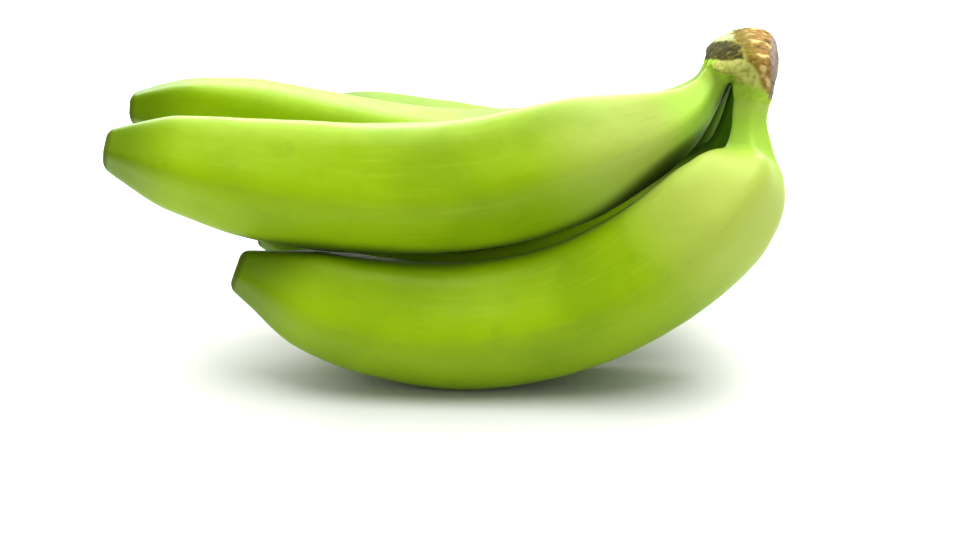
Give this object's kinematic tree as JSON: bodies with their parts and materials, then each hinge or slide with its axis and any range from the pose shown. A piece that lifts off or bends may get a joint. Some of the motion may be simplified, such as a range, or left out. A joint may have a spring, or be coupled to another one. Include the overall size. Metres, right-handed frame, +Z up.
{
  "type": "bunch of bananas",
  "caption": "Bunch of green bananas lying on its side: curved, softly ridged fruit in two rows, joined at one brown cut crown.",
  "frame": {"origin": "centre of the bunch's footprint, on the surface that it lies on", "axes": "+X towards the crown, along the bananas; +Z up; +Y from the front bananas to the back ones"},
  "size_m": [0.1888, 0.114, 0.0958],
  "materials": {
    "peel": "waxy satin fruit peel",
    "crown": "dried fibrous stem"
  },
  "bodies": {
    "root": {"crown": "crown", "banana_lower_front": "peel", "banana_lower_back": "peel", "banana_upper_front": "peel", "banana_upper_middle": "peel", "banana_upper_back": "peel"}
  },
  "joints": []
}
